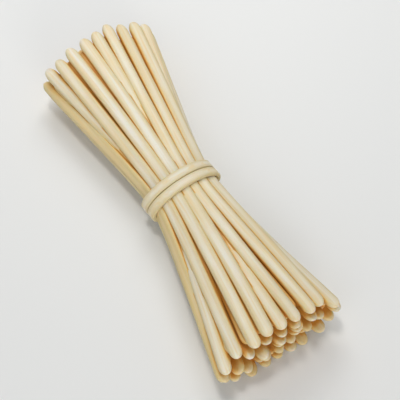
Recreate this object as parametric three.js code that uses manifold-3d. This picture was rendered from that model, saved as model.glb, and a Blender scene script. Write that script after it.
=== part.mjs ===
// A bundle of dry linguine lying on its side, tied round the middle with two turns of a flat band.
// Millimetres, +Z up. The strands run along X, and the table is the plane Z = 0.
// The strands lie in nested oval layers, packed tight at the tie and fanned out at both ends.
// It is all made with the tie above the origin, then moved so that the whole bundle's middle is.
// A bundle's near end is its +X end, and its far end is its -X end.

import * as THREE from "three";
import { mergeVertices } from "three/addons/utils/BufferGeometryUtils.js";
import Module from "manifold-3d";

const strand = { width: 8.4, thickness: 4.2 };

// The oval through the middles of the outer strands, at the tie and at the bundle's two ends.
const tie = { halfWidth: 21.3, halfHeight: 10.3, centreHeight: 20.8 };
const end = { halfWidth: 41, halfHeight: 23.2, centreHeight: 22 };
const halfLength = 125;
const tieSoftness = 0.14; // share of the half length over which the strands bend at the tie
const tieTurn = 7.5; // degrees that the tie slants, its +Y side towards the far end

// Each layer's inset from the outer oval at the tie and at the ends, its strands, how many of them are
// squeezed out of the layer, to just beneath it, at the tie, and how far short of the outer layer it stops.
const layers = [
  { count: 20, squeezed: 5, tieInset: 0, endInset: 0, setback: 0, sides: 8, steps: 7, tipSteps: 3 },
  { count: 20, squeezed: 6, tieInset: 4.4, endInset: 3.8, setback: 6, sides: 6, steps: 5, tipSteps: 2 },
  { count: 12, squeezed: 0, tieInset: 8.2, endInset: 11.5, setback: 0, sides: 6, steps: 3, tipSteps: 2 },
  { count: 6, squeezed: 0, tieInset: 9.6, endInset: 20, setback: 0, sides: 6, steps: 3, tipSteps: 2 },
];
const stepGrowth = 1.6; // how much longer a strand's steps get towards its ends, where it is straight
const squeezedDepth = 3.6;

// How far from the tie the strands reach at each end before their tips, how unevenly, how much further
// per mm towards +Y and in the middle, and by what share the end is wider than the end oval.
const farReach = { length: 117.1, tipLength: 7.4, uneven: 1.4, skew: 0.066, bulge: 2.3, widening: 0 };
const nearReach = { length: 120.9, tipLength: 5.8, uneven: 1.8, skew: -0.08, bulge: 0, widening: 0.03 };

// How unevenly the strands lie: across in spacings, outwards in millimetres, turned in degrees.
const drift = { width: 0.07, across: 0.1, outwards: 0.7, turn: 13 };
const lean = 12; // degrees that each strand leans on the next one at the tie, like a shingle
const levelling = { upper: 0.4, sides: 0.85, lower: 0.8 }; // how far they turn flat towards the ends

const core = { halfLength: 101, tieInset: 0.8, endInset: 8.6, sides: 20, steps: 8 };
const band = { width: 6.6, thickness: 2, offStrands: 0.2, gap: 0.35, rounding: 0.7, curveSegments: 16 };
const standOut = { sides: 4.35, top: 3.05 }; // of the leaning strands, beyond the tie's oval
const restDepth = 0.3; // cut off the strands that lie on the table, for flat spots to rest on

const strandColour = 0xe6d3a3;
const bandColour = 0xead9b0;

const { degToRad, lerp, clamp } = THREE.MathUtils;
const wasm = await Module();
wasm.setup();

// A repeatable draw between -1 and 1 for each number.
function uneven(number) {
  const wave = Math.sin(number * 12.9898 + 4.1) * 43758.5453;
  return 2 * (wave - Math.floor(wave)) - 1;
}

// An angle, brought to between -PI and PI.
function wrap(angle) {
  return angle - 2 * Math.PI * Math.round(angle / (2 * Math.PI));
}

// 0 at the tie and 1 at the bundle's ends, with a soft bend at the tie and straight beyond it.
function openness(x) {
  const bend = (share) => Math.hypot(share, tieSoftness) - tieSoftness;
  return bend(Math.abs(x) / halfLength) / bend(1);
}

// A layer's oval where the bundle is open by a share of the way from the tie to its ends.
function ovalAt(open, tieInset, endInset, widening = 0) {
  const inset = lerp(tieInset, endInset, open);
  return {
    halfWidth: lerp(tie.halfWidth, end.halfWidth * (1 + widening), open) - inset,
    halfHeight: lerp(tie.halfHeight, end.halfHeight, open) - inset,
    centreHeight: lerp(tie.centreHeight, end.centreHeight, open),
  };
}

// A point of the oval, a share of the way round it from its +Y side over the top, even by length.
// Strands that would sink into the table lie on it.
function pointOn(oval, share) {
  const turn = 2 * Math.PI * share;
  const evening = (oval.halfWidth - oval.halfHeight) / (oval.halfWidth + oval.halfHeight) / 2;
  const angle = turn + evening * Math.sin(2 * turn);
  const height = oval.centreHeight + oval.halfHeight * Math.sin(angle);
  const lowest = strand.thickness / 2 - restDepth;
  return new THREE.Vector2(oval.halfWidth * Math.cos(angle), Math.max(height, lowest));
}

// What sets one strand apart: where it lies at the tie and at each end, its width and its reach.
function planStrand(layer, layerNumber, index) {
  const shift = 0.5 * layerNumber;
  const slots = layer.count - layer.squeezed;
  const slotOf = (number) => Math.floor((number * slots) / layer.count);
  const squeezed = index > 0 && slotOf(index) === slotOf(index - 1);
  const tieShare = (slotOf(index) + (squeezed ? 0.5 : 0) + shift) / slots;
  const endShare = (index + shift) / layer.count;
  const [tieSide, endSide] = [tieShare, endShare].map((share) => Math.cos(2 * Math.PI * share));
  const draw = (what) => uneven(100 * layerNumber + index + what);
  const drawEnd = ({ length, tipLength, uneven: drifting, skew, bulge, widening }, what) => ({
    reach: length + skew * end.halfWidth * endSide + bulge * (1 - endSide ** 2) - layer.setback
      + drifting * draw(what),
    tipLength,
    across: (drift.across * draw(what + 0.2)) / layer.count,
    turn: degToRad(drift.turn * draw(what + 0.4)),
    outwards: drift.outwards * draw(what + 0.6),
    widening,
  });
  const isUpper = endShare % 1 <= 0.5;
  return {
    tieShare,
    endShare,
    waist: -Math.tan(degToRad(tieTurn)) * tie.halfWidth * tieSide,
    depth: squeezed ? squeezedDepth : 0,
    level: isUpper ? Math.PI : 0,
    levelling: isUpper ? lerp(levelling.upper, levelling.sides, endSide ** 2) : levelling.lower,
    width: strand.width * (1 + drift.width * draw(0.17)),
    near: drawEnd(nearReach, 0.31),
    far: drawEnd(farReach, 0.42),
  };
}

// Where a strand's middle line runs at a place along the bundle, and how it is turned there.
function placeStrand(layer, plan, x) {
  const open = openness(x - plan.waist);
  const drawn = x > 0 ? plan.near : plan.far;
  const depth = lerp(plan.depth, -drawn.outwards, open);
  const oval = ovalAt(open, layer.tieInset + depth, layer.endInset + depth, drawn.widening);
  const share = lerp(plan.tieShare, plan.endShare + drawn.across, open);
  const step = strand.width / 8 / (oval.halfWidth + oval.halfHeight);
  const middle = pointOn(oval, share);
  const along = pointOn(oval, share + step).sub(pointOn(oval, share - step));
  const lifted = clamp((middle.y - strand.thickness / 2) / strand.thickness, 0, 1);
  const steepness = wrap(Math.atan2(along.y, along.x) - plan.level);
  const turned = lifted * lerp(degToRad(lean), drawn.turn, open);
  return { middle, roll: plan.level + steepness * lerp(1, 1 - plan.levelling, open) + turned };
}

// A strand is a capsule along X, flattened and bent to its place in the layer.
function strandGeometry(layer, plan) {
  const capsule = new THREE.CapsuleGeometry(1, 2, layer.tipSteps, layer.sides, layer.steps);
  capsule.rotateY(Math.PI / layer.sides).rotateZ(-Math.PI / 2);
  const trueSize = 1 / Math.sqrt(Math.cos(Math.PI / layer.sides)); // flats inside the oval, corners out
  const points = capsule.getAttribute("position");
  for (let i = 0; i < points.count; i++) {
    const along = points.getX(i);
    const straight = clamp(along, -1, 1);
    const { reach, tipLength } = straight > 0 ? plan.near : plan.far;
    const x = reach * Math.sign(straight) * Math.abs(straight) ** stepGrowth
      + (along - straight) * tipLength;
    const { middle, roll } = placeStrand(layer, plan, x);
    const across = (trueSize * points.getZ(i) * plan.width) / 2;
    const up = (trueSize * points.getY(i) * strand.thickness) / 2;
    const y = middle.x + across * Math.cos(roll) - up * Math.sin(roll);
    const z = middle.y + across * Math.sin(roll) + up * Math.cos(roll);
    points.setXYZ(i, x, y, z);
  }
  return capsule;
}

// The core that the strands are fused to: a closed oval tube, waisted like the layers.
function coreGeometry() {
  const tube = new THREE.CylinderGeometry(1, 1, 2, core.sides, core.steps);
  tube.rotateZ(-Math.PI / 2);
  const points = tube.getAttribute("position");
  for (let i = 0; i < points.count; i++) {
    const x = points.getX(i) * core.halfLength;
    const { halfWidth, halfHeight, centreHeight } = ovalAt(openness(x), core.tieInset, core.endInset);
    points.setXYZ(i, x, points.getZ(i) * halfWidth, centreHeight + points.getY(i) * halfHeight);
  }
  return tube;
}

// A closed geometry as a solid, its faces turned outwards.
function solidFrom(geometry) {
  const bare = geometry.clone();
  bare.deleteAttribute("normal");
  bare.deleteAttribute("uv");
  const merged = mergeVertices(bare, 1e-4);
  const vertProperties = merged.getAttribute("position").array;
  const triVerts = new Uint32Array(merged.index.array);
  const solid = new wasm.Manifold(new wasm.Mesh({ numProp: 3, vertProperties, triVerts }));
  if (solid.volume() > 0) return solid;
  triVerts.reverse();
  return new wasm.Manifold(new wasm.Mesh({ numProp: 3, vertProperties, triVerts }));
}

function geometryFrom(solid) {
  const mesh = solid.getMesh();
  const geometry = new THREE.BufferGeometry();
  geometry.setAttribute("position", new THREE.BufferAttribute(new Float32Array(mesh.vertProperties), 3));
  geometry.setIndex(new THREE.BufferAttribute(new Uint32Array(mesh.triVerts), 1));
  geometry.computeVertexNormals();
  return geometry;
}

// The largest skin of a solid, which leaves out the walls of the hollows that fusing seals inside it.
function outerSkin(solid) {
  return solid.decompose().reduce((largest, skin) => (skin.volume() > largest.volume() ? skin : largest));
}

// All the strands fused to the core, and cut flat where they lie on the table.
function bundleGeometry() {
  let bundle = solidFrom(coreGeometry());
  layers.forEach((layer, layerNumber) => {
    for (let index = 0; index < layer.count; index++) {
      bundle = bundle.add(solidFrom(strandGeometry(layer, planStrand(layer, layerNumber, index))));
    }
  });
  const table = new THREE.BoxGeometry(4 * halfLength, 4 * halfLength, halfLength);
  return geometryFrom(outerSkin(bundle.subtract(solidFrom(table.translate(0, 0, -halfLength / 2)))));
}

// One turn of the tie: a flat band round the strands, with rounded edges.
function bandGeometry() {
  const inner = {
    x: tie.halfWidth + standOut.sides + band.offStrands,
    y: tie.halfHeight + standOut.top + band.offStrands,
  };
  const outline = new THREE.Shape();
  outline.absellipse(0, 0, inner.x + band.thickness, inner.y + band.thickness, 0, 2 * Math.PI);
  const opening = new THREE.Path();
  opening.absellipse(0, 0, inner.x, inner.y, 0, 2 * Math.PI);
  outline.holes.push(opening);
  const geometry = new THREE.ExtrudeGeometry(outline, {
    depth: band.width - 2 * band.rounding,
    bevelThickness: band.rounding,
    bevelSize: band.rounding,
    bevelOffset: -band.rounding,
    bevelSegments: 2,
    curveSegments: band.curveSegments,
  });
  geometry.translate(0, 0, band.rounding - band.width / 2);
  return geometry.rotateX(Math.PI / 2).rotateZ(Math.PI / 2);
}

const bundle = new THREE.Group();
const strandPasta = new THREE.MeshStandardMaterial({ color: strandColour, roughness: 0.6, metalness: 0 });
const bandPasta = new THREE.MeshStandardMaterial({ color: bandColour, roughness: 0.6, metalness: 0 });

const strands = new THREE.Mesh(bundleGeometry(), strandPasta);
strands.name = "linguine_strands";
bundle.add(strands);

for (const [name, side] of [["tie_band_far", -1], ["tie_band_near", 1]]) {
  const turn = new THREE.Mesh(bandGeometry(), bandPasta);
  turn.name = name;
  turn.geometry.translate((side * (band.width + band.gap)) / 2, 0, tie.centreHeight);
  turn.geometry.rotateZ(degToRad(tieTurn));
  bundle.add(turn);
}

const middle = new THREE.Box3().setFromObject(bundle).getCenter(new THREE.Vector3());
for (const piece of bundle.children) piece.geometry.translate(-middle.x, -middle.y, 0);

export default bundle;
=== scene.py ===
import math

import bpy
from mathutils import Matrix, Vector
from mathutils.bvhtree import BVHTree


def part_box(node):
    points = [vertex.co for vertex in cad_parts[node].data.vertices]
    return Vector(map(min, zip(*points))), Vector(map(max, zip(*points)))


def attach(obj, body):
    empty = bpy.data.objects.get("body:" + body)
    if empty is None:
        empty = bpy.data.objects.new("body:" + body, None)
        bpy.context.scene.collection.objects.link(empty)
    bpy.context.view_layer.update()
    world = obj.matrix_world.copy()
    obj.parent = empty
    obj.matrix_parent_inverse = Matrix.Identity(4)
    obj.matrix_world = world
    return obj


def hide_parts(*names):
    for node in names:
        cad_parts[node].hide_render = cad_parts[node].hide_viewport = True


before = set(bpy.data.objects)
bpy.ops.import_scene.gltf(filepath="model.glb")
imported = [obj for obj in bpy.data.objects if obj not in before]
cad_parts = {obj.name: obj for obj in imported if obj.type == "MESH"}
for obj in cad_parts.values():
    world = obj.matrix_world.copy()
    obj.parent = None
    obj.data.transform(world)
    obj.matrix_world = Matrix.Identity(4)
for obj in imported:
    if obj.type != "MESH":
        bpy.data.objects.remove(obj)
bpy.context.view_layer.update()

# A bundle of dry linguine on a pale table, tied round the middle. Metres, Z up, strands along X.
# The near end is the +X end, and the far end is the -X end.

# How the strands lie: four nested oval layers, tight at the tie and fanned out at the ends.
bundle = {
    "tie": {"halfWidth": 0.0213, "halfHeight": 0.0103, "centreHeight": 0.0208},
    "tieTurn": 7.5,  # degrees that the tie slants, its +Y side towards the far end
    "end": {"halfWidth": 0.041, "halfHeight": 0.0232, "centreHeight": 0.022},
    "halfLength": 0.125,
    "tieSoftness": 0.14,  # share of the half length over which the strands bend
    # Squeezed are the strands that find no room round the tie. Setback is how much shorter both ends are.
    "layers": [
        {"count": 20, "squeezed": 5, "tieInset": 0, "endInset": 0, "setback": 0},
        {"count": 20, "squeezed": 6, "tieInset": 0.0044, "endInset": 0.0038, "setback": 0.006},
        {"count": 12, "squeezed": 0, "tieInset": 0.0082, "endInset": 0.0115, "setback": 0},
        {"count": 6, "squeezed": 0, "tieInset": 0.0096, "endInset": 0.02, "setback": 0},
    ],
    "squeezedDepth": 0.0036,
    "layerShift": 0.5,  # spacings that a layer is turned against the one outside it
    "far": {
        "reach": 0.1171,  # from the tie to where the strand's tip begins
        "tipLength": 0.0074,
        "uneven": 0.0014,
        "skew": 0.066,  # how much further the +Y side reaches, as a share of the end's half width
        "bulge": 0.0023,  # how much further the middle reaches
        "widening": 0,
    },
    "near": {
        "reach": 0.1209,
        "tipLength": 0.0058,
        "uneven": 0.0018,
        "skew": -0.08,
        "bulge": 0,
        "widening": 0.03,
    },
    "driftWidth": 0.07,  # share of the width
    "driftAcross": 0.1,  # in spacings
    "driftOutwards": 0.0007,
    "driftTurn": 13,  # degrees
    "lean": 12,  # degrees that each strand leans on the next one at the tie
    "levelling": {"upper": 0.4, "sides": 0.85, "lower": 0.8},  # how far they turn flat at the ends
    "restDepth": 0.0003,  # pressed flat where a strand lies on the table
    "slopeStep": 0.125,  # share of the width, to each side, over which a strand's slope is taken
    "upperTones": 0.4,  # the upper strands' tones go from 0 to this, and the lower ones' from there to 1, deeper as painted shade
    "shadedLowerFrom": 0.46,  # share of the way round from which strands count as lower and get the painted shade's deeper tones
    "shadedSide": 0.03,  # share of the way round: strands this near to the -Y side get one deep golden tone, painted shade
    "shadedSideTone": 0.85,
    "routePoints": 49,
}

strand = {
    "width": 0.0084,
    "thickness": 0.0042,
    "length": 0.25,
    "rounding": 0.0018,  # of its long edges, between flat faces
    "roundingSteps": 3,
    "flatCuts": 3,
    "tipSteps": 5,
    "tipTurn": 84,  # degrees that the tip curves in before its small flat end
    "endFacing": 0.9,  # how straight along the strand its end faces look
    "cuts": 60,
    "bumpHeight": 0.00022,
    "bumpSize": 0.011,
}


def deselectAll():
    if bpy.context.object and bpy.context.object.mode != "OBJECT":
        bpy.ops.object.mode_set(mode="OBJECT")
    bpy.ops.object.select_all(action="DESELECT")


def makeActive(piece):
    deselectAll()
    piece.select_set(True)
    bpy.context.view_layer.objects.active = piece


def applyTransform(piece):
    makeActive(piece)
    bpy.ops.object.transform_apply(location=True, rotation=True, scale=True)


def applyModifier(piece, modifier):
    makeActive(piece)
    bpy.ops.object.modifier_apply(modifier=modifier.name)


def selectFaces(piece, wanted):  # in edit mode, the faces for which wanted(face) holds
    bpy.ops.mesh.select_mode(type="FACE")
    bpy.ops.mesh.select_all(action="DESELECT")
    bpy.ops.object.mode_set(mode="OBJECT")
    for face in piece.data.polygons:
        face.select = wanted(face)
    bpy.ops.object.mode_set(mode="EDIT")


def selectEdges(piece, wanted):  # in edit mode, the edges for which wanted(start, end) holds
    bpy.ops.mesh.select_mode(type="EDGE")
    bpy.ops.mesh.select_all(action="DESELECT")
    bpy.ops.object.mode_set(mode="OBJECT")
    points = piece.data.vertices
    for edge in piece.data.edges:
        edge.select = wanted(*(points[i].co for i in edge.vertices))
    bpy.ops.object.mode_set(mode="EDIT")


def selectPoints(piece, wanted):  # in edit mode, the points for which wanted(place) holds
    bpy.ops.mesh.select_mode(type="VERT")
    bpy.ops.mesh.select_all(action="DESELECT")
    bpy.ops.object.mode_set(mode="OBJECT")
    for point in piece.data.vertices:
        point.select = wanted(point.co)
    bpy.ops.object.mode_set(mode="EDIT")


def addUnevenness(piece, size, height):
    clouds = bpy.data.textures.new("unevenness", "CLOUDS")
    clouds.noise_scale = size
    swell = piece.modifiers.new("unevenness", "DISPLACE")
    swell.texture = clouds
    swell.texture_coords = "LOCAL"
    swell.strength = height
    applyModifier(piece, swell)


def setAttribute(piece, name, values):  # one value, or one place, for each point of the piece
    isPlace = len(values) > len(piece.data.vertices)
    kind, part = ("FLOAT_VECTOR", "vector") if isPlace else ("FLOAT", "value")
    attribute = piece.data.attributes.new(name, kind, "POINT")
    attribute.data.foreach_set(part, values)


def placesOf(piece):
    return [part for point in piece.data.vertices for part in point.co]


def uneven(number):  # a repeatable draw between -1 and 1
    step, start, stretch = 12.9898, 4.1, 43758.5453
    wave = math.sin(number * step + start) * stretch
    return 2 * (wave - math.floor(wave)) - 1


def mix(start, end, share):
    return start + (end - start) * share


def openness(x):  # 0 at the tie and 1 at the ends
    soft = bundle["tieSoftness"]
    share = x / bundle["halfLength"]
    return (math.hypot(share, soft) - soft) / (math.hypot(1, soft) - soft)


def ovalAt(opened, tieInset, endInset, widening=0):  # half width, half height and the middle's height
    inset = mix(tieInset, endInset, opened)
    tie, end = bundle["tie"], bundle["end"]
    halfWidth = mix(tie["halfWidth"], end["halfWidth"] * (1 + widening), opened) - inset
    halfHeight = mix(tie["halfHeight"], end["halfHeight"], opened) - inset
    return halfWidth, halfHeight, mix(tie["centreHeight"], end["centreHeight"], opened)


def pointOn(oval, share):  # a share of the way round, from the +Y side over the top
    halfWidth, halfHeight, centreHeight = oval
    turn = 2 * math.pi * share
    angle = turn + (halfWidth - halfHeight) / (halfWidth + halfHeight) / 2 * math.sin(2 * turn)
    lowest = strand["thickness"] / 2 - bundle["restDepth"]
    return halfWidth * math.cos(angle), max(centreHeight + halfHeight * math.sin(angle), lowest)


def planStrand(layer, layerNumber, index):
    draws = {  # what tells each draw from the others
        "layer": 100,
        "width": 0.17,
        "tone": 0.05,
        "near": 0.31,
        "far": 0.42,
        "across": 0.2,
        "turn": 0.4,
        "outwards": 0.6,
    }

    def draw(what):
        return uneven(draws["layer"] * layerNumber + index + what)

    def reachOf(end):
        side = math.cos(2 * math.pi * (index + shift) / layer["count"])
        skewed = end["skew"] * bundle["end"]["halfWidth"] * side
        return end["reach"] + skewed + end["bulge"] * (1 - side**2) - layer["setback"]

    def drawEnd(name):
        end, what = bundle[name], draws[name]
        return {
            "reach": reachOf(end) + end["uneven"] * draw(what),
            "widening": end["widening"],
            "across": draw(what + draws["across"]),
            "turn": draw(what + draws["turn"]),
            "outwards": draw(what + draws["outwards"]),
        }

    shift = bundle["layerShift"] * layerNumber
    slots = layer["count"] - layer["squeezed"]
    slot = index * slots // layer["count"]
    squeezed = index > 0 and slot == (index - 1) * slots // layer["count"]
    plan = {
        "layer": layer,
        "tieShare": (slot + (0.5 if squeezed else 0) + shift) / slots,  # squeezed between two others
        "endShare": (index + shift) / layer["count"],
        "squeeze": bundle["squeezedDepth"] if squeezed else 0,
        "widening": 1 + bundle["driftWidth"] * draw(draws["width"]),
        "tone": (draw(draws["tone"]) + 1) / 2 * bundle["upperTones"],
        "near": drawEnd("near"),
        "far": drawEnd("far"),
    }
    tieSide = bundle["tie"]["halfWidth"] * math.cos(2 * math.pi * plan["tieShare"])
    plan["waist"] = -math.tan(math.radians(bundle["tieTurn"])) * tieSide
    # Painted shade: the lower strands' random tones are pushed to the deep end, and strands at the -Y side
    # get one deep golden tone.
    if plan["endShare"] % 1 > bundle["shadedLowerFrom"]:
        plan["tone"] = 1 - plan["tone"] * (1 - bundle["upperTones"]) / bundle["upperTones"]
    if abs(plan["endShare"] % 1 - 0.5) < bundle["shadedSide"]:
        plan["tone"] = bundle["shadedSideTone"]
    levelling = bundle["levelling"]
    plan["level"], plan["levelling"] = 0, levelling["lower"]  # the level is the turn at which it lies flat
    if plan["endShare"] % 1 <= 0.5:
        endSide = math.cos(2 * math.pi * plan["endShare"])
        plan["level"] = math.pi
        plan["levelling"] = mix(levelling["upper"], levelling["sides"], endSide**2)
    return plan


def placeStrand(plan, x):  # the middle of the strand at x, and how it is turned there
    layer = plan["layer"]
    opened = openness(x - plan["waist"])
    drawn = plan["near"] if x > 0 else plan["far"]
    inset = mix(plan["squeeze"], -bundle["driftOutwards"] * drawn["outwards"], opened)
    oval = ovalAt(opened, layer["tieInset"] + inset, layer["endInset"] + inset, drawn["widening"])
    endShare = plan["endShare"] + bundle["driftAcross"] * drawn["across"] / layer["count"]
    share = mix(plan["tieShare"], endShare, opened)
    step = strand["width"] * bundle["slopeStep"] / (oval[0] + oval[1])
    y, z = pointOn(oval, share)
    (y0, z0), (y1, z1) = pointOn(oval, share - step), pointOn(oval, share + step)
    lifted = min(max((z - strand["thickness"] / 2) / strand["thickness"], 0), 1)
    steepness = math.remainder(math.atan2(z1 - z0, y1 - y0) - plan["level"], 2 * math.pi)
    roll = plan["level"] + steepness * mix(1, 1 - plan["levelling"], opened)
    roll += lifted * math.radians(mix(bundle["lean"], bundle["driftTurn"] * drawn["turn"], opened))
    return Vector((x, y, z)), roll


def tiePlace():  # the point on the table below the tie's middle, from the frame
    corners = (*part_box("tie_band_far"), *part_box("tie_band_near"))
    x = sum(corner.x for corner in corners) / len(corners)
    y = sum(corner.y for corner in corners) / len(corners)
    return Vector((x, y, 0))


def makeCamera():
    view = {
        "azimuth": 61.2,
        "elevation": 58,
        "distance": 0.9,
        "lens": 124.5,
        "sensor": 36,
        "aim": (0, 0, 0.015),  # from the tie's place
        "right": 0.0116,  # how far the frame's middle is to the right of the aim, and below it
        "down": 0.0032,
    }
    turn, lift = math.radians(view["azimuth"]), math.radians(view["elevation"])
    back = Vector((math.sin(turn) * math.cos(lift), -math.cos(turn) * math.cos(lift), math.sin(lift)))
    right = Vector((math.cos(turn), math.sin(turn), 0))
    data = bpy.data.cameras.new("camera")
    data.lens = view["lens"]
    data.sensor_width = view["sensor"]
    camera = bpy.data.objects.new("camera", data)
    bpy.context.scene.collection.objects.link(camera)
    middle = tiePlace() + Vector(view["aim"]) + right * view["right"]
    camera.location = middle - back.cross(right) * view["down"] + back * view["distance"]
    camera.rotation_mode = "QUATERNION"
    camera.rotation_quaternion = (-back).to_track_quat("-Z", "Y")
    bpy.context.scene.camera = camera


def makeLights():
    lights = {
        "key": {
            "power": 10.4,
            "size": 0.35,
            "direction": (-0.07, -0.07, 1),
            "distance": 2,
            "colour": (1, 0.975, 0.93),
        },
        "back": {
            "power": 1.8,
            "size": 0.4,
            "direction": (-0.46, 0.22, 0.62),
            "distance": 0.7,
            "colour": (1, 0.99, 0.97),
        },
        "fill": {
            "power": 8.8,
            "size": 1.8,
            "direction": (0.45, -0.75, 0.6),
            "distance": 2.5,
            "colour": (0.96, 0.98, 1),
        },
        "front": {
            "power": 7.2,
            "size": 0.7,
            "direction": (0.9, -0.15, 0.3),
            "distance": 1.5,
            "colour": (1, 0.97, 0.92),
        },
    }
    sky = {"colour": (0.89, 0.94, 1), "strength": 0.29}
    for name, light in lights.items():
        data = bpy.data.lights.new(name, "AREA")
        data.energy, data.size, data.color = light["power"], light["size"], light["colour"]
        lamp = bpy.data.objects.new(name, data)
        bpy.context.scene.collection.objects.link(lamp)
        direction = Vector(light["direction"]).normalized()
        lamp.location = direction * light["distance"]
        lamp.rotation_mode = "QUATERNION"
        lamp.rotation_quaternion = direction.to_track_quat("Z", "Y")
    world = bpy.data.worlds.new("studio")
    world.use_nodes = True
    background = world.node_tree.nodes["Background"]
    background.inputs["Color"].default_value = (*sky["colour"], 1)
    background.inputs["Strength"].default_value = sky["strength"]
    bpy.context.scene.world = world
    bpy.context.scene.view_settings.view_transform = "Standard"


def newMaterial(name, roughness):
    material = bpy.data.materials.new(name)
    material.use_nodes = True
    nodes = material.node_tree.nodes
    shader = nodes["Principled BSDF"]
    shader.inputs["Roughness"].default_value = roughness
    return material, nodes, material.node_tree.links, shader


def makeStreaksGroup():
    # Lengthwise streaks and specks of semolina. Place is along, across and up the strand, in metres.
    seedStep = 57  # how far the noise moves on from the palest tone to the deepest
    grains = {  # how many to the metre along, across and up, and the noise's detail
        "Streaks": ((20, 560, 560), 3),
        "Clouds": ((22, 130, 130), 2),
        "Specks": ((1500, 1700, 1700), 1),
    }
    group = bpy.data.node_groups.new("pastaStreaks", "ShaderNodeTree")
    face = group.interface
    face.new_socket("Place", in_out="INPUT", socket_type="NodeSocketVector")
    face.new_socket("Tone", in_out="INPUT", socket_type="NodeSocketFloat")
    for name in grains:
        face.new_socket(name, in_out="OUTPUT", socket_type="NodeSocketFloat")
    nodes, links = group.nodes, group.links
    inputs, outputs = nodes.new("NodeGroupInput"), nodes.new("NodeGroupOutput")
    seed = nodes.new("ShaderNodeMath")
    seed.operation = "MULTIPLY"
    seed.inputs[1].default_value = seedStep
    links.new(inputs.outputs["Tone"], seed.inputs[0])
    for name, (density, detail) in grains.items():
        stretch = nodes.new("ShaderNodeVectorMath")
        stretch.operation = "MULTIPLY"
        stretch.inputs[1].default_value = density
        noise = nodes.new("ShaderNodeTexNoise")
        noise.noise_dimensions = "4D"
        noise.inputs["Scale"].default_value = 1
        noise.inputs["Detail"].default_value = detail
        links.new(inputs.outputs["Place"], stretch.inputs[0])
        links.new(stretch.outputs["Vector"], noise.inputs["Vector"])
        links.new(seed.outputs["Value"], noise.inputs["W"])
        links.new(noise.outputs["Fac"], outputs.inputs[name])
    return group


def addMix(nodes, links, amount, first, second):  # the first colour is a socket or a plain colour
    sockets = {"amount": 0, "first": 6, "second": 7, "result": 2}  # those of a colour mix
    node = nodes.new("ShaderNodeMix")
    node.data_type = "RGBA"
    links.new(amount, node.inputs[sockets["amount"]])
    if isinstance(first, bpy.types.NodeSocket):
        links.new(first, node.inputs[sockets["first"]])
    else:
        node.inputs[sockets["first"]].default_value = (*first, 1)
    node.inputs[sockets["second"]].default_value = (*second, 1)
    return node.outputs[sockets["result"]]


def addRamp(nodes, links, value, span, most):  # 0 up to the span's start, and most from its end
    ramp = nodes.new("ShaderNodeValToRGB")
    for element, position, bright in zip(ramp.color_ramp.elements, span, (0, most)):
        element.position = position
        element.color = (bright, bright, bright, 1)
    links.new(value, ramp.inputs["Fac"])
    return ramp.outputs["Color"]


def addAttribute(nodes, name, output):
    node = nodes.new("ShaderNodeAttribute")
    node.attribute_name = name
    return node.outputs[output]


def makePasta(name, look, streaks):
    material, nodes, links, shader = newMaterial(name, look["roughness"])
    pattern = nodes.new("ShaderNodeGroup")
    pattern.node_tree = streaks
    place, tone = addAttribute(nodes, "pastaPlace", "Vector"), addAttribute(nodes, "pastaToneAndShade", "Fac")
    edge, creviceShade = addAttribute(nodes, "pastaEdgeShade", "Fac"), addAttribute(nodes, "pastaCreviceShade", "Fac")
    links.new(place, pattern.inputs["Place"])
    links.new(tone, pattern.inputs["Tone"])
    clouds, lines, specks = (pattern.outputs[key] for key in ("Clouds", "Streaks", "Specks"))
    layers = (  # each laid over those before it: its mask, the mask's span, its strength and its colour
        (tone, look["toneSpan"], 1, look["butter"]),
        (clouds, look["cloudSpan"], look["cloudiness"], look["goldenAndShade"]),
        (lines, look["streakSpan"], look["streakiness"], look["goldenAndShade"]),
        (edge, look["sideShadeSpan"], look["sideShade"], look["tan"]),
        # The crevice mask paints shade: golden, then toast, where strands crowd.
        (creviceShade, look["goldenShadeSpan"], 1, look["goldenAndShade"]),
        (creviceShade, look["toastShadeSpan"], 1, look["toastAndShade"]),
        (specks, look["speckSpan"], look["speckling"], look["toastAndShade"]),
    )
    colour = look["cream"]
    for mask, span, strength, tint in layers:
        colour = addMix(nodes, links, addRamp(nodes, links, mask, span, strength), colour, tint)
    links.new(colour, shader.inputs["Base Color"])
    shader.inputs["Subsurface Weight"].default_value = look["translucence"]
    shader.inputs["Subsurface Radius"].default_value = look["lightSpread"]
    shader.inputs["Subsurface Scale"].default_value = look["lightDepth"]
    bump = nodes.new("ShaderNodeBump")
    bump.inputs["Strength"].default_value = look["grainStrength"]
    bump.inputs["Distance"].default_value = look["grainHeight"]
    links.new(pattern.outputs["Streaks"], bump.inputs["Height"])
    links.new(bump.outputs["Normal"], shader.inputs["Normal"])
    return material


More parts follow.
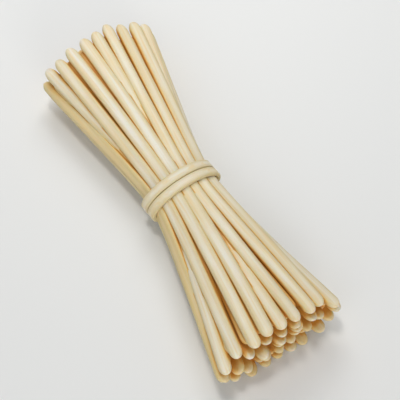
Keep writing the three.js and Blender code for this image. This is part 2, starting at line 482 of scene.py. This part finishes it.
def makeStrandTemplate():
    # A straight strand from x = 0 to x = length: a flat rod with rounded edges and tips like a tongue's.
    tips = {-1: bundle["far"]["tipLength"], 1: bundle["near"]["tipLength"]}
    body = strand["length"] - sum(tips.values())
    deselectAll()
    bpy.ops.mesh.primitive_cube_add(size=1, location=(tips[-1] + body / 2, 0, 0))
    piece = bpy.context.object
    piece.name = "strandTemplate"
    piece.scale = (body, strand["width"], strand["thickness"])
    applyTransform(piece)
    bpy.ops.object.mode_set(mode="EDIT")
    selectEdges(piece, lambda start, end: abs(end.x - start.x) > body / 2)
    bpy.ops.mesh.bevel(offset=strand["rounding"], segments=strand["roundingSteps"], affect="EDGES")
    selectEdges(piece, lambda start, end: abs(end.y - start.y) > strand["width"] / 2)
    bpy.ops.mesh.subdivide(number_cuts=strand["flatCuts"])
    for side, tipLength in tips.items():
        selectFaces(piece, lambda face: face.normal.x * side > strand["endFacing"])
        angle = 0
        for step in range(1, strand["tipSteps"] + 1):
            before, angle = angle, math.radians(strand["tipTurn"]) * step / strand["tipSteps"]
            forward = side * tipLength * (math.sin(angle) - math.sin(before))
            shrink = math.cos(angle) / math.cos(before)
            bpy.ops.mesh.extrude_region_move(TRANSFORM_OT_translate={"value": (forward, 0, 0)})
            bpy.ops.transform.resize(value=(1, shrink, shrink))
    selectEdges(piece, lambda start, end: abs(end.x - start.x) > body / 2)
    bpy.ops.mesh.subdivide(number_cuts=strand["cuts"])
    bpy.ops.object.mode_set(mode="OBJECT")
    bpy.ops.object.shade_smooth()
    setAttribute(piece, "pastaPlace", placesOf(piece))
    # The edge mask tints the sides tan: partly painted shade of the rounded sides, partly their own deeper
    # gold.
    edges = [min(abs(point.co.y) / (strand["width"] / 2), 1) for point in piece.data.vertices]
    setAttribute(piece, "pastaEdgeShade", edges)
    return piece


def makeRoute(plan):
    # The line that a strand is bent along, with the strand's turn as the curve's tilt.
    data = bpy.data.curves.new("route", "CURVE")
    data.dimensions = "3D"
    data.twist_mode = "Z_UP"
    data.use_stretch = True
    data.use_deform_bounds = True
    line = data.splines.new("POLY")
    line.points.add(bundle["routePoints"] - 1)
    start = -plan["far"]["reach"] - bundle["far"]["tipLength"]
    end = plan["near"]["reach"] + bundle["near"]["tipLength"]
    for number, point in enumerate(line.points):
        place, roll = placeStrand(plan, mix(start, end, number / (bundle["routePoints"] - 1)))
        point.co = (*place, 1)
        point.tilt = roll
    route = bpy.data.objects.new("route", data)
    bpy.context.scene.collection.objects.link(route)
    return route


def layStrand(template, plan, number):
    piece = template.copy()
    piece.data = template.data.copy()
    piece.name = f"strand{number}"
    bpy.context.scene.collection.objects.link(piece)
    piece.scale = (1, plan["widening"], 1)
    applyTransform(piece)
    route = makeRoute(plan)
    bend = piece.modifiers.new("bend", "CURVE")
    bend.object = route
    bend.deform_axis = "POS_X"
    applyModifier(piece, bend)
    bpy.data.curves.remove(route.data)
    setAttribute(piece, "pastaToneAndShade", [plan["tone"]] * len(piece.data.vertices))
    return piece


def markPaintedShade(piece):
    # Painted shade: pasta is coloured a deeper gold, then toast, where strands crowd, standing in for the
    # shade and warm bounced light between them. Marks how much of each point's outlook they fill.
    outlook = {"directions": 40, "reach": 0.014, "start": 0.0004, "flattest": 0.15}
    goldenTurn = math.pi * (3 - math.sqrt(5))
    directions = []
    for number in range(outlook["directions"]):  # spread evenly over a ball
        height = 1 - 2 * (number + 0.5) / outlook["directions"]
        turn = goldenTurn * number
        wide = math.sqrt(1 - height * height)
        directions.append(Vector((wide * math.cos(turn), wide * math.sin(turn), height)))
    tree = BVHTree.FromObject(piece, bpy.context.evaluated_depsgraph_get())
    shadeShare = []
    for point in piece.data.vertices:
        start = point.co + point.normal * outlook["start"]
        seen = blocked = 0
        for direction in directions:
            facing = point.normal.dot(direction)
            if facing > outlook["flattest"]:
                seen += facing
                if tree.ray_cast(start, direction, outlook["reach"])[0]:
                    blocked += facing
        shadeShare.append(blocked / seen)
    setAttribute(piece, "pastaCreviceShade", shadeShare)


def makeStrands(material):
    template = makeStrandTemplate()
    pieces = []
    for layerNumber, layer in enumerate(bundle["layers"]):
        for index in range(layer["count"]):
            plan = planStrand(layer, layerNumber, index)
            pieces.append(layStrand(template, plan, len(pieces)))
    bpy.data.objects.remove(template)
    deselectAll()
    for piece in pieces:
        piece.select_set(True)
    bpy.context.view_layer.objects.active = pieces[0]
    bpy.ops.object.join()
    strands = bpy.context.object
    strands.name = "dry_linguine_strands"
    strands.location = tiePlace()
    applyTransform(strands)
    addUnevenness(strands, strand["bumpSize"], strand["bumpHeight"])
    makeActive(strands)
    bpy.ops.object.mode_set(mode="EDIT")
    selectPoints(strands, lambda place: place.z < 0)
    bpy.ops.transform.resize(value=(1, 1, 0), center_override=(0, 0, 0))  # flat on the table
    bpy.ops.object.mode_set(mode="OBJECT")
    markPaintedShade(strands)
    strands.data.materials.clear()
    strands.data.materials.append(material)
    return strands


def makeCore(material):
    # Hidden among the innermost strands: a slim waisted spindle that blocks the view through.
    core = {
        "halfLength": 0.1,
        "tieInset": 0.0088,
        "endInset": 0.0205,
        "sides": 24,
        "cuts": 15,
        "ringReach": 0.001,  # a ring's points are this near to its place
        "smoothBelow": 40,  # degrees
    }
    deselectAll()
    bpy.ops.mesh.primitive_cylinder_add(
        vertices=core["sides"], radius=1, depth=2 * core["halfLength"], end_fill_type="NGON",
        rotation=(0, math.radians(90), 0),
    )
    piece = bpy.context.object
    piece.name = "bundle_core"
    applyTransform(piece)
    bpy.ops.object.mode_set(mode="EDIT")
    selectEdges(piece, lambda start, end: abs(end.x - start.x) > core["halfLength"])
    bpy.ops.mesh.subdivide(number_cuts=core["cuts"])
    for ring in range(core["cuts"] + 2):
        x = mix(-core["halfLength"], core["halfLength"], ring / (core["cuts"] + 1))
        halfWidth, halfHeight, centreHeight = ovalAt(openness(x), core["tieInset"], core["endInset"])
        selectPoints(piece, lambda place: abs(place.x - x) < core["ringReach"])
        bpy.ops.transform.resize(value=(1, halfWidth, halfHeight), center_override=(x, 0, 0))
        bpy.ops.transform.translate(value=(0, 0, centreHeight))
    bpy.ops.object.mode_set(mode="OBJECT")
    bpy.ops.object.shade_smooth_by_angle(angle=math.radians(core["smoothBelow"]))
    piece.location = tiePlace()
    applyTransform(piece)
    setAttribute(piece, "pastaPlace", placesOf(piece))
    # Painted shade: the whole core takes the deepest crevice colour, as it lies only in shade.
    setAttribute(piece, "pastaCreviceShade", [1] * len(piece.data.vertices))
    piece.data.materials.append(material)
    return piece


def makeBand(name, node, material, tone):
    # One turn of the tie: a flat band with rounded edges, snug on the strands.
    band = {
        "width": 0.0066,
        "thickness": 0.002,
        "sink": 0.0007,  # how far it sits into the strands, below the thickness that shows
        "sides": 96,
        "cuts": 5,
        "rounding": 0.0009,
        "roundingSteps": 4,
        "bumpHeight": 0.00035,
        "bumpSize": 0.02,
        "snug": 0.957,  # how near the +Y side is, of its distance in the frame
    }
    low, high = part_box(node)
    turn = math.radians(bundle["tieTurn"])
    across = (high.y - low.y - band["width"] * math.sin(turn)) / math.cos(turn)
    tall = high.z - low.z
    deselectAll()
    bpy.ops.mesh.primitive_cylinder_add(
        vertices=band["sides"], radius=0.5, depth=1, end_fill_type="NOTHING",
        rotation=(0, math.radians(90), 0),
    )
    piece = bpy.context.object
    piece.name = name
    piece.scale = (tall, across, band["width"])
    applyTransform(piece)
    bpy.ops.object.mode_set(mode="EDIT")
    bpy.ops.mesh.select_all(action="SELECT")
    bpy.ops.mesh.normals_make_consistent(inside=False)
    selectEdges(piece, lambda start, end: abs(end.x - start.x) > band["width"] / 2)
    bpy.ops.mesh.subdivide(number_cuts=band["cuts"])
    selectPoints(piece, lambda place: place.y > 0)
    bpy.ops.transform.resize(value=(1, band["snug"], 1), center_override=(0, 0, 0))
    bpy.ops.object.mode_set(mode="OBJECT")
    thicken = piece.modifiers.new("thicken", "SOLIDIFY")
    thicken.thickness = band["thickness"] + band["sink"]
    thicken.offset = -1
    applyModifier(piece, thicken)
    soften = piece.modifiers.new("soften", "BEVEL")
    soften.width = band["rounding"]
    soften.segments = band["roundingSteps"]
    soften.limit_method = "ANGLE"
    applyModifier(piece, soften)
    addUnevenness(piece, band["bumpSize"], band["bumpHeight"])
    makeActive(piece)
    bpy.ops.object.shade_smooth()
    places, edges = [], []
    for point in piece.data.vertices:  # places run round the turn, across the band and up from it
        x, y, z = point.co
        places += [math.atan2(z / tall, y / across) * across / 2, x, math.hypot(y, z)]
        edges.append(min(abs(x) / (band["width"] / 2), 1))
    setAttribute(piece, "pastaPlace", places)
    # The edge mask tints the band's sides tan: partly painted shade of its rounded edges, partly their own
    # deeper gold.
    setAttribute(piece, "pastaEdgeShade", edges)
    setAttribute(piece, "pastaToneAndShade", [tone] * len(edges))
    piece.rotation_euler.z = turn
    piece.location = (low + high) / 2
    applyTransform(piece)
    piece.data.materials.append(material)
    return piece


def makeTable():
    table = {"size": 8, "colour": (0.825, 0.828, 0.82), "roughness": 0.8}
    material, _, _, shader = newMaterial("paleTable", table["roughness"])
    shader.inputs["Base Color"].default_value = (*table["colour"], 1)
    deselectAll()
    bpy.ops.mesh.primitive_plane_add(size=table["size"])
    piece = bpy.context.object
    piece.name = "table"
    piece.data.materials.append(material)
    return piece


print("camera and lights")
makeCamera()
makeLights()

print("finishes")
streaks = makeStreaksGroup()
strandLook = {
    "cream": (0.835, 0.822, 0.74),
    "butter": (0.79, 0.63, 0.345),  # a strand of the deepest tone; the lower strands lean to it as painted shade
    "toneSpan": (0, 1),
    "goldenAndShade": (0.78, 0.56, 0.2),  # in clouds and streaks, and painted shade where strands crowd
    "cloudiness": 0.4,
    "cloudSpan": (0.35, 0.7),
    "streakiness": 0.5,
    "streakSpan": (0.46, 0.66),
    "goldenShadeSpan": (0.1, 0.38),
    "toastAndShade": (0.66, 0.31, 0.05),  # painted shade deep between the strands, and the specks' own colour
    "toastShadeSpan": (0.28, 0.6),
    "speckling": 0.2,
    "speckSpan": (0.66, 0.74),
    "tan": (0.64, 0.52, 0.26),  # along both sides of a strand: partly painted shade of its rounded sides, partly their own deeper gold
    "sideShade": 0.75,
    "sideShadeSpan": (0.2, 0.85),
    "translucence": 0.25,
    "lightDepth": 0.0015,
    "lightSpread": (1, 0.6, 0.25),  # how far red, green and blue reach in that depth
    "roughness": 0.55,
    "grainStrength": 0.35,
    "grainHeight": 0.00015,
}
bandLook = dict(strandLook, cream=(0.8, 0.765, 0.65), butter=(0.79, 0.72, 0.55), sideShade=0.7)
strandFinish = makePasta("dryPasta", strandLook, streaks)
bandFinish = makePasta("pastaBand", bandLook, streaks)

print("strands")
strands = makeStrands(strandFinish)
core = makeCore(strandFinish)

print("tie")
bandTones = {"far": 0.2, "near": 0.5}
bandFar = makeBand("tie_far_turn", "tie_band_far", bandFinish, bandTones["far"])
bandNear = makeBand("tie_near_turn", "tie_band_near", bandFinish, bandTones["near"])

print("table")
makeTable()

pieces = (
    (strands, "linguine_strands", "dry_pasta"),
    (core, "linguine_strands", "dry_pasta"),
    (bandFar, "tie_band_far", "pasta_band"),
    (bandNear, "tie_band_near", "pasta_band"),
)
for piece, node, slot in pieces:
    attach(piece, "root")
    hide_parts(node)
